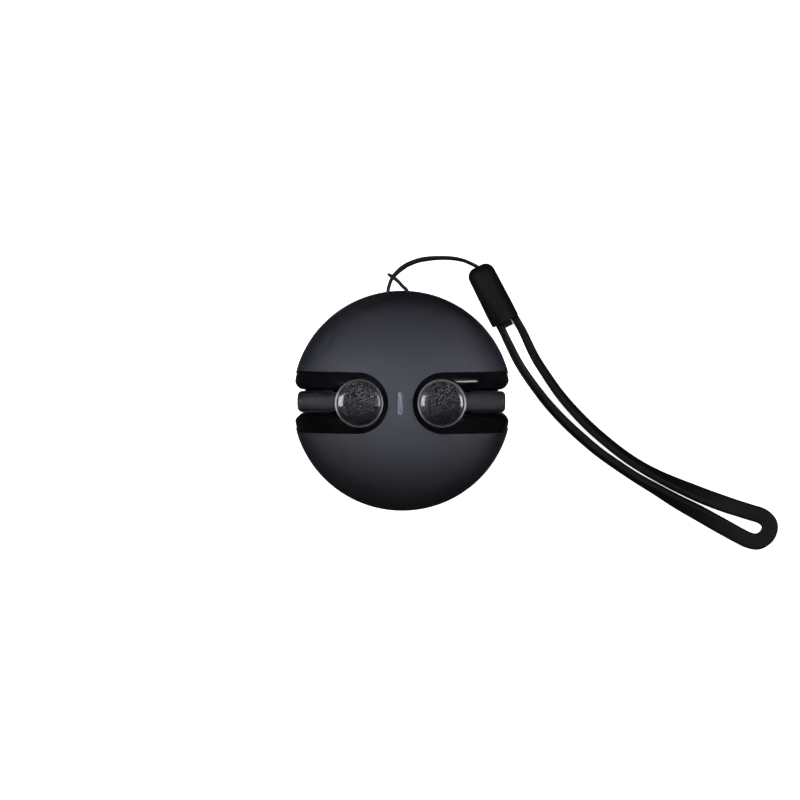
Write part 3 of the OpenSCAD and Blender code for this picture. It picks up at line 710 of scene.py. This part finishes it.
# The band round the loop: place, and roll in degrees from standing on edge
BAND_ROUTE = [
    (Vector(point[:3]) * MM, point[3])
    for point in (
        (30.6, 22.65, 4, 0), (32.05, 20.2, 3.1, 0), (33.3, 17.8, 2.5, 4),
        (36.1, 11.9, 2.4, 8), (39.3, 6.8, 2.4, 9), (43, 1.5, 2.4, 12), (47, -3.2, 2.4, 14),
        (51.4, -7.7, 2.4, 16), (56.2, -11.9, 2.4, 16), (61.2, -15.8, 2.4, 17),
        (66.5, -19.2, 2.4, 19), (72, -22.1, 2.4, 28), (77.5, -24.6, 2.1, 43),
        (83.5, -27.1, 1.9, 61), (89.5, -29.3, 1.6, 76), (95.4, -31.2, 1.3, 90),
        (99.2, -32.5, 1.2, 90), (101.2, -34.8, 1.2, 90), (100.5, -37.7, 1.2, 90),
        (98.1, -39.4, 1.2, 90), (95.6, -39.1, 1.2, 90), (93, -37.9, 1.3, 90),
        (87.2, -34.7, 1.6, 76), (81.5, -31.5, 1.9, 61), (75.7, -28.4, 2.1, 43),
        (70.1, -25.1, 2.4, 28), (64.6, -21.9, 2.4, 19), (59.1, -18.3, 2.4, 17),
        (53.9, -14.6, 2.4, 16), (48.8, -10.3, 2.4, 16), (44.1, -5.9, 2.4, 14),
        (39.7, -1.1, 2.4, 12), (35.6, 4.2, 2.4, 9), (31.9, 9.7, 2.4, 8), (29.2, 15, 2.5, 4),
        (27.8, 17.9, 3.1, 0), (26.45, 20.6, 4, 0),
    )
]  # fmt: skip

# The sleeve lies flat: the middle of its loop end, and its bearing
SLEEVE_FOOT = Vector((28.2, 21.35, 4)) * MM
SLEEVE_TURN = math.radians(117)


def smooth_line(points, steps):
    """Points of a smooth curve through all the given ones, with steps to each stretch."""
    knots = [2 * points[0] - points[1], *points, 2 * points[-1] - points[-2]]
    line = []
    for a, b, c, d in zip(knots, knots[1:], knots[2:], knots[3:]):
        for step in range(steps):
            t = step / steps
            line.append(
                b + (c - a) * (t / 2) + (2 * a - 5 * b + 4 * c - d) * (t**2 / 2)
                + (3 * b - a - 3 * c + d) * (t**3 / 2)
            )
    return [*line, points[-1]]


def line_length(line):
    return sum((b - a).length for a, b in zip(line, line[1:]))


def heading(line, station):
    ahead, behind = line[min(station + 1, len(line) - 1)], line[max(station - 1, 0)]
    return (ahead - behind).normalized()


def level_sides(line):
    """A level direction across the line at each station."""
    return [heading(line, i).cross(Vector((0, 0, 1))).normalized() for i in range(len(line))]


def carried_sides(line):
    """A direction across the line at each station, carried along it without twist."""
    sides = [heading(line, 0).cross(Vector((0, 0, 1))).normalized()]
    for i in range(1, len(line)):
        along = heading(line, i)
        sides.append((sides[-1] - along * sides[-1].dot(along)).normalized())
    return sides


def swept(line, across, rolls, section):
    """A closed tube: section points (across, up) carried along a line, rolled at each station."""
    sides, last = len(section), len(line) - 1
    reach = [0.0]
    for a, b in zip(line, line[1:]):
        reach.append(reach[-1] + (b - a).length)

    def place(u, v):
        station = round(v * last)
        side = across[station]
        up = side.cross(heading(line, station))
        roll = math.radians(rolls[station])
        width, rise = section[round(u * sides) % sides]
        wide = up * math.cos(roll) + side * math.sin(roll)
        thick = side * math.cos(roll) - up * math.sin(roll)
        return line[station] + wide * width + thick * rise

    bm = wrapped_grid(sides, last, place)
    layer = bm.loops.layers.uv.active
    girth = sum(
        math.dist(section[i], section[(i + 1) % sides]) for i in range(sides)
    )
    for face in bm.faces:
        for loop in face.loops:
            u, v = loop[layer].uv
            loop[layer].uv = (u * girth, reach[round(v * last)])
    bmesh.ops.remove_doubles(bm, verts=bm.verts, dist=0.001 * MM)
    bmesh.ops.holes_fill(bm, edges=bm.edges, sides=0)
    bmesh.ops.recalc_face_normals(bm, faces=bm.faces)
    return bm


# ---------------------------------------------------------------- operators


class EARPHONE_CASE_OT_stage(bpy.types.Operator):
    """Sets up the camera, two softboxes, a lamp above, the pale surroundings and the floor"""

    bl_idname = "earphone_case.stage"
    bl_label = "Stage"

    def execute(self, context):
        stage = context.scene.earphone_case_stage
        self.add_camera(context, stage)
        left = {"lean": -37, "width": 0.42, "depth": 0.24}
        right = {"lean": 42, "width": 0.28, "depth": 0.28}
        self.add_softbox(context, "softbox_left", power=stage.light_power, **left)
        self.add_softbox(context, "softbox_right", power=0.8 * stage.light_power, **right)
        self.add_pool_light(context, stage)
        self.add_surroundings(context)
        self.add_floor(context, stage)
        context.scene.view_settings.view_transform = "Standard"
        return {"FINISHED"}

    def add_camera(self, context, stage):
        aim = Vector((-0.54 * MM, 0.22 * MM, SEAM))
        lean = Vector((0.028, 0.044, 1)).normalized()
        data = bpy.data.cameras.new("camera")
        data.sensor_width = 36
        data.lens = data.sensor_width * stage.camera_distance / stage.view_width
        data.clip_start = 0.01
        camera = bpy.data.objects.new("camera", data)
        across = Vector((0, 1, 0)).cross(lean).normalized()
        turn = Matrix((across, lean.cross(across), lean)).transposed().to_4x4()
        camera.matrix_world = Matrix.Translation(aim + lean * stage.camera_distance) @ turn
        context.scene.collection.objects.link(camera)
        context.scene.camera = camera

    def add_softbox(self, context, name, lean, width, depth, power):
        """A softbox over the case, leaning an angle in degrees to one side."""
        data = bpy.data.lights.new(name, "AREA")
        data.shape = "RECTANGLE"
        data.size = width
        data.size_y = depth
        data.energy = power
        light = bpy.data.objects.new(name, data)
        pitch, height = math.radians(-2), 0.8
        turn = Matrix.Rotation(pitch, 4, "X") @ Matrix.Rotation(math.radians(lean), 4, "Y")
        light.matrix_world = turn @ Matrix.Translation((0, 0, height))
        context.scene.collection.objects.link(light)

    def add_pool_light(self, context, stage):
        """A gridded lamp straight above, whose pool fades out towards the rim."""
        data = bpy.data.lights.new("pool_light", "AREA")
        data.shape = "ELLIPSE"
        data.size = 0.058
        data.size_y = 0.042
        data.spread = math.radians(2.6)
        data.color = (0.9, 0.93, 1)
        data.energy = stage.pool_power
        light = bpy.data.objects.new("pool_light", data)
        light.location = (0.001, 0.004, 0.6)
        light.visible_glossy = False
        context.scene.collection.objects.link(light)

    def add_surroundings(self, context):
        world = bpy.data.worlds.new("surroundings")
        world.use_nodes = True
        nodes, links = world.node_tree.nodes, world.node_tree.links
        axes = nodes.new("ShaderNodeSeparateXYZ")
        links.new(nodes.new("ShaderNodeTexCoord").outputs["Generated"], axes.inputs["Vector"])
        height = nodes.new("ShaderNodeMapRange")
        ends = (("From Min", 0.05), ("From Max", 0.5), ("To Min", 0.03), ("To Max", 0.015))
        for socket, number in ends:
            height.inputs[socket].default_value = number
        links.new(axes.outputs["Z"], height.inputs["Value"])
        sky = nodes["Background"]
        sky.inputs["Color"].default_value = (0.96, 0.98, 1, 1)
        links.new(height.outputs["Result"], sky.inputs["Strength"])
        context.scene.world = world

    def add_floor(self, context, stage):
        bm = bmesh.new()
        bmesh.ops.create_grid(bm, x_segments=8, y_segments=8, size=1.5)
        mesh = mesh_from(bm, "floor")
        paper = Finish("floor_paper", stage.floor_colour, 0.9)
        shade = stage.floor_colour
        grain = paper.noise(paper.place(), 40, 2)
        paper.colour(grain, shade_of(shade, 0.99), shade_of(shade, 1.01))
        paper.shader.inputs["Emission Color"].default_value = (1, 1, 1, 1)
        paper.shader.inputs["Emission Strength"].default_value = 1.0
        mesh.materials.append(paper.material)
        floor = bpy.data.objects.new("floor", mesh)
        context.scene.collection.objects.link(floor)
        floor.visible_glossy = False
        floor.visible_diffuse = False


class EARPHONE_CASE_OT_sleeve(bpy.types.Operator):
    """Turns the strap's sleeve, domed at one end, and lays it along its bearing"""

    bl_idname = "earphone_case.sleeve"
    bl_label = "Strap sleeve"

    def execute(self, context):
        sizes = context.scene.earphone_case_sizes
        foot = sizes.sleeve_diameter / 2
        top = sizes.sleeve_top_diameter / 2
        length = sizes.sleeve_length
        straight = 4 * MM
        bore, bore_floor = 1.2 * MM, length - 4 * MM
        dome_round, foot_round, bore_round = 2.6 * MM, 0.5 * MM, 0.3 * MM
        outline = [
            (0, 0), (foot, 0), (foot, straight), (top, length), (bore, length),
            (bore, bore_floor), (0, bore_floor),
        ]  # fmt: skip
        rounds = [((3,), dome_round, 10), ((1,), foot_round, 4), ((4,), bore_round, 3)]
        bm = spun(outline, rounds, Vector((0, 0, 0)), steps=64)
        # A low web joins the loop's two legs where they leave the sleeve
        web_centre = Vector((0, -0.4, -0.75)) * MM
        web_size = (3 * MM, 2.4 * MM, 1.7 * MM)
        web = Matrix.Translation(web_centre) @ Matrix.Diagonal((*web_size, 1))
        bmesh.ops.create_cube(bm, size=1, matrix=web)
        lay = Matrix.Translation(SLEEVE_FOOT) @ Matrix.Rotation(SLEEVE_TURN, 4, "Z")
        bmesh.ops.transform(bm, matrix=lay @ Matrix.Rotation(math.pi / 2, 4, "Y"), verts=bm.verts)
        sleeve = add_piece("sleeve", mesh_from(bm, "sleeve"), "case", finish_of("strap"))
        even_shading(sleeve)
        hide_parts("strap_sleeve")
        return {"FINISHED"}


class EARPHONE_CASE_OT_cord(bpy.types.Operator):
    """Sweeps the thin cord along its route through the case's holes"""

    bl_idname = "earphone_case.cord"
    bl_label = "Thin cord"

    def execute(self, context):
        sizes = context.scene.earphone_case_sizes
        radius = sizes.cord_diameter / 2
        line = smooth_line(CORD_ROUTE, 5)
        section = [
            (radius * math.cos(math.tau * i / 12), radius * math.sin(math.tau * i / 12))
            for i in range(12)
        ]
        bm = swept(line, carried_sides(line), [0] * len(line), section)
        cord = add_piece("thin_cord", mesh_from(bm, "thin_cord"), "case", finish_of("cord"))
        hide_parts("strap_cord")
        line_length(line)
        return {"FINISHED"}


class EARPHONE_CASE_OT_loop(bpy.types.Operator):
    """Sweeps the wrist loop's band round its route, with its roll at each place"""

    bl_idname = "earphone_case.loop"
    bl_label = "Wrist loop"

    def execute(self, context):
        sizes = context.scene.earphone_case_sizes
        half_width, half_thickness = sizes.band_width / 2, sizes.band_thickness / 2
        line = smooth_line([place for place, _ in BAND_ROUTE], 6)
        rolls = [Vector((roll, 0)) for _, roll in BAND_ROUTE]
        rolls = [value.x for value in smooth_line(rolls, 6)]
        section = []
        for i in range(28):
            turn = math.tau * i / 28
            wide, thick = math.cos(turn), math.sin(turn)
            section.append((
                half_width * math.copysign(abs(wide) ** 0.5, wide),
                half_thickness * math.copysign(abs(thick) ** 0.5, thick),
            ))
        bm = swept(line, level_sides(line), rolls, section)
        mesh = mesh_from(bm, "wrist_loop")
        loop = add_piece("wrist_loop", mesh, "case", finish_of("strap"))
        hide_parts("strap_loop")
        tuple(BAND_ROUTE[0][0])
        line_length(line)
        return {"FINISHED"}


class EARPHONE_CASE_OT_shells(bpy.types.Operator):
    """Rounds both shells' edges and gives them their soft-touch coat"""

    bl_idname = "earphone_case.shells"
    bl_label = "Shells"

    def execute(self, context):
        edge = context.scene.earphone_case_sizes.shell_edge
        for name, node in (("front_cover", "front_shell"), ("back_cover", "back_shell")):
            cover = add_piece(name, softened(name, node, edge), "case", finish_of("shell"))
            even_shading(cover)
            follow_outline(cover, 0)
            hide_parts(node)
        return {"FINISHED"}


class EARPHONE_CASE_OT_cradles(bpy.types.Operator):
    """Rounds the cradles' edges and gives them their deep gloss"""

    bl_idname = "earphone_case.cradles"
    bl_label = "Cradles"

    def execute(self, context):
        edge = context.scene.earphone_case_sizes.cradle_edge
        for side in SIDES:
            name, node = f"{side}_tray", f"{side}_cradle"
            mesh = softened(name, node, edge, 3)
            tray = add_piece(name, mesh, "case", finish_of("cradle"))
            even_shading(tray)
            follow_outline(tray, 0.35 * MM)
            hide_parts(node)
        return {"FINISHED"}


class EARPHONE_CASE_OT_light_bar(bpy.types.Operator):
    """Makes the frosted indicator bar between the docks"""

    bl_idname = "earphone_case.light_bar"
    bl_label = "Light bar"

    def execute(self, context):
        edge = context.scene.earphone_case_sizes.trim_edge
        mesh = softened("light_bar", "light_pipe", edge)
        bar = add_piece("light_bar", mesh, "case", finish_of("lens"))
        even_shading(bar)
        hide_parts("light_pipe")
        return {"FINISHED"}


class EARPHONE_CASE_OT_touch_keys(bpy.types.Operator):
    """Turns the touch keys, flat in the middle with a rolled-off edge"""

    bl_idname = "earphone_case.touch_keys"
    bl_label = "Touch keys"

    def execute(self, context):
        sizes = context.scene.earphone_case_sizes
        for side in SIDES:
            low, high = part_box(f"{side}_touch_key")
            ring_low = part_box(f"{side}_key_ring")[0]
            radius = (high.y - low.y) / 2
            flat = radius - sizes.key_roll_width
            roll = sizes.key_roll_radius
            end = math.asin(sizes.key_roll_width / roll)
            arc = [
                (flat + roll * math.sin(end * i / 14), high.z - roll * (1 - math.cos(end * i / 14)))
                for i in range(15)
            ]
            post = 1 * MM
            outline = [
                (0, high.z), (flat / 2, high.z), *arc, (radius, ring_low.z), (post, ring_low.z),
                (post, low.z), (0, low.z),
            ]  # fmt: skip
            centre = Vector(((low.x + high.x) / 2, 0, 0))
            bm = spun(outline, [((16, 17), 0.08 * MM, 3)], centre)
            name = f"{side}_key_disc"
            disc = add_piece(name, mesh_from(bm, name), f"{side}_key", finish_of("key"))
            even_shading(disc)
            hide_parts(f"{side}_touch_key")
        return {"FINISHED"}


class EARPHONE_CASE_OT_key_rings(bpy.types.Operator):
    """Turns the bright rings round the touch keys, with round shoulders"""

    bl_idname = "earphone_case.key_rings"
    bl_label = "Key rings"

    def execute(self, context):
        width = 0.4 * MM
        for side in SIDES:
            low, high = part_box(f"{side}_key_ring")
            outer = (high.y - low.y) / 2
            inner = outer - width
            outline = [(inner, low.z), (outer, low.z), (outer, high.z), (inner, high.z)]
            centre = Vector(((low.x + high.x) / 2, 0, 0))
            bm = spun(outline, [((2, 3), 0.15 * MM, 4)], centre, closed=True)
            name = f"{side}_bezel"
            mesh = mesh_from(bm, name)
            bezel = add_piece(name, mesh, f"{side}_earphone", finish_of("ring"))
            even_shading(bezel)
            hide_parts(f"{side}_key_ring")
        return {"FINISHED"}


class EARPHONE_CASE_OT_earphone_shells(bpy.types.Operator):
    """Rounds the edges of the earphones' heads and stems, which leaves a fine line at each joint"""

    bl_idname = "earphone_case.earphone_shells"
    bl_label = "Earphone shells"

    def execute(self, context):
        edge = context.scene.earphone_case_sizes.stem_edge
        for side in SIDES:
            for part in ("head_cover", "head_body", "stem_tube"):
                name, node = f"{side}_{part}_skin", f"{side}_{part}"
                skin = add_piece(
                    name, softened(name, node, edge), f"{side}_earphone", finish_of("stem")
                )
                even_shading(skin)
                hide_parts(node)
        return {"FINISHED"}


class EARPHONE_CASE_OT_ear_tips(bpy.types.Operator):
    """Turns the silicone ear tips, with a thin flared skirt round their sleeves"""

    bl_idname = "earphone_case.ear_tips"
    bl_label = "Ear tips"

    def execute(self, context):
        for side in SIDES:
            low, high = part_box(f"{side}_ear_tip")
            edge = (high.y - low.y) / 2
            root = low.z + 1.2 * MM
            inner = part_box(f"{side}_sound_mesh")
            sleeve = (inner[1].y - inner[0].y) / 2 + 0.73 * MM
            outline = [
                (1.6 * MM, -1.2), (2.6 * MM, -1.2), (0.62 * edge, -0.9), (0.86 * edge, 0.3),
                (0.97 * edge, 1.8), (edge, 3.1), (0.97 * edge, 3.8), (0.91 * edge, 3.6),
                (0.87 * edge, 2), (0.76 * edge, 0.9), (sleeve + 0.7 * MM, 0.2),
                (sleeve + 0.7 * MM, 3.9), (sleeve, 3.9), (sleeve, -0.05), (1.6 * MM, -0.05),
            ]  # fmt: skip
            outline = [(radius, root + height * MM) for radius, height in outline]
            centre = Vector(((low.x + high.x) / 2, 0, 0))
            rounds = [
                ((0, 1, 6, 7, 11), 0.15 * MM, 3),
                ((2, 3, 8, 9, 10), 0.6 * MM, 4),
                ((4,), 0.7 * MM, 3),
            ]
            bm = spun(outline, rounds, centre, steps=72, closed=True)
            name = f"{side}_tip"
            mesh = mesh_from(bm, name)
            tip = add_piece(name, mesh, f"{side}_earphone", finish_of("silicone"))
            even_shading(tip, 60)
            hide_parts(f"{side}_ear_tip")
        return {"FINISHED"}


class EARPHONE_CASE_OT_port(bpy.types.Operator):
    """Rounds the charging socket's drawn metal shell and its tongue"""

    bl_idname = "earphone_case.port"
    bl_label = "Charging port"

    def execute(self, context):
        edge = context.scene.earphone_case_sizes.trim_edge
        for name, node, slot in (
            ("port_shell", "usb_socket", "steel"),
            ("port_tongue", "usb_tongue", "chip"),
        ):
            piece = add_piece(name, softened(name, node, edge), "case", finish_of(slot))
            even_shading(piece)
            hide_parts(node)
        return {"FINISHED"}


class EARPHONE_CASE_OT_inner_parts(bpy.types.Operator):
    """Gives the parts inside the case and the earphones their finishes"""

    bl_idname = "earphone_case.inner_parts"
    bl_label = "Inner parts"

    def execute(self, context):
        slots = {
            "charging_board": "board",
            "board_chips": "chip",
            "indicator_led": "led",
            "battery_cell": "foil",
            "battery_pad": "foam",
            "battery_leads": "lead",
            "case_screws": "steel",
        }
        for side in SIDES:
            slots |= {
                f"{side}_dock_magnets": "nickel",
                f"{side}_pin_barrels": "gold",
                f"{side}_inner_pin": "gold",
                f"{side}_outer_pin": "gold",
                f"{side}_sound_mesh": "mesh",
                f"{side}_driver": "nickel",
                f"{side}_ear_cell": "steel",
                f"{side}_ear_board": "board",
                f"{side}_key_switch": "nickel",
                f"{side}_microphone": "gold",
                f"{side}_contacts": "gold",
            }
        for node, slot in slots.items():
            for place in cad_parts[node].material_slots:
                place.material = finish_of(slot)
        return {"FINISHED"}


class EARPHONE_CASE_PT_sidebar(bpy.types.Panel):
    """Lists the case's sizes, colours and pieces"""

    bl_idname = "EARPHONE_CASE_PT_sidebar"
    bl_label = "Earphone Case"
    bl_space_type = "VIEW_3D"
    bl_region_type = "UI"
    bl_category = "Earphone Case"

    def draw(self, context):
        scene = context.scene
        for title, group in (
            ("Stage", scene.earphone_case_stage),
            ("Sizes", scene.earphone_case_sizes),
            ("Colours", scene.earphone_case_colours),
        ):
            box = self.layout.box()
            box.label(text=title)
            for name in group.bl_rna.properties.keys():
                if name not in ("rna_type", "name"):
                    box.prop(group, name)
        column = self.layout.column(align=True)
        for operator in OPERATORS:
            column.operator(operator.bl_idname)


GROUPS = {
    "earphone_case_sizes": EARPHONE_CASE_Sizes,
    "earphone_case_colours": EARPHONE_CASE_Colours,
    "earphone_case_stage": EARPHONE_CASE_Stage,
}

# In the order in which they run: the camera and the strap come first
OPERATORS = (
    EARPHONE_CASE_OT_stage,
    EARPHONE_CASE_OT_sleeve,
    EARPHONE_CASE_OT_cord,
    EARPHONE_CASE_OT_loop,
    EARPHONE_CASE_OT_shells,
    EARPHONE_CASE_OT_cradles,
    EARPHONE_CASE_OT_light_bar,
    EARPHONE_CASE_OT_touch_keys,
    EARPHONE_CASE_OT_key_rings,
    EARPHONE_CASE_OT_earphone_shells,
    EARPHONE_CASE_OT_ear_tips,
    EARPHONE_CASE_OT_port,
    EARPHONE_CASE_OT_inner_parts,
)


def register():
    for group in GROUPS.values():
        bpy.utils.register_class(group)
    for name, group in GROUPS.items():
        setattr(bpy.types.Scene, name, PointerProperty(type=group))
    for operator in OPERATORS:
        bpy.utils.register_class(operator)
    bpy.utils.register_class(EARPHONE_CASE_PT_sidebar)


def unregister():
    bpy.utils.unregister_class(EARPHONE_CASE_PT_sidebar)
    for operator in reversed(OPERATORS):
        bpy.utils.unregister_class(operator)
    for name, group in GROUPS.items():
        delattr(bpy.types.Scene, name)
        bpy.utils.unregister_class(group)


def main():
    register()
    make = bpy.ops.earphone_case
    make.stage()
    make.sleeve()
    make.cord()
    make.loop()
    make.shells()
    make.cradles()
    make.light_bar()
    make.touch_keys()
    make.key_rings()
    make.earphone_shells()
    make.ear_tips()
    make.port()
    make.inner_parts()


if __name__ == "__main__":
    main()
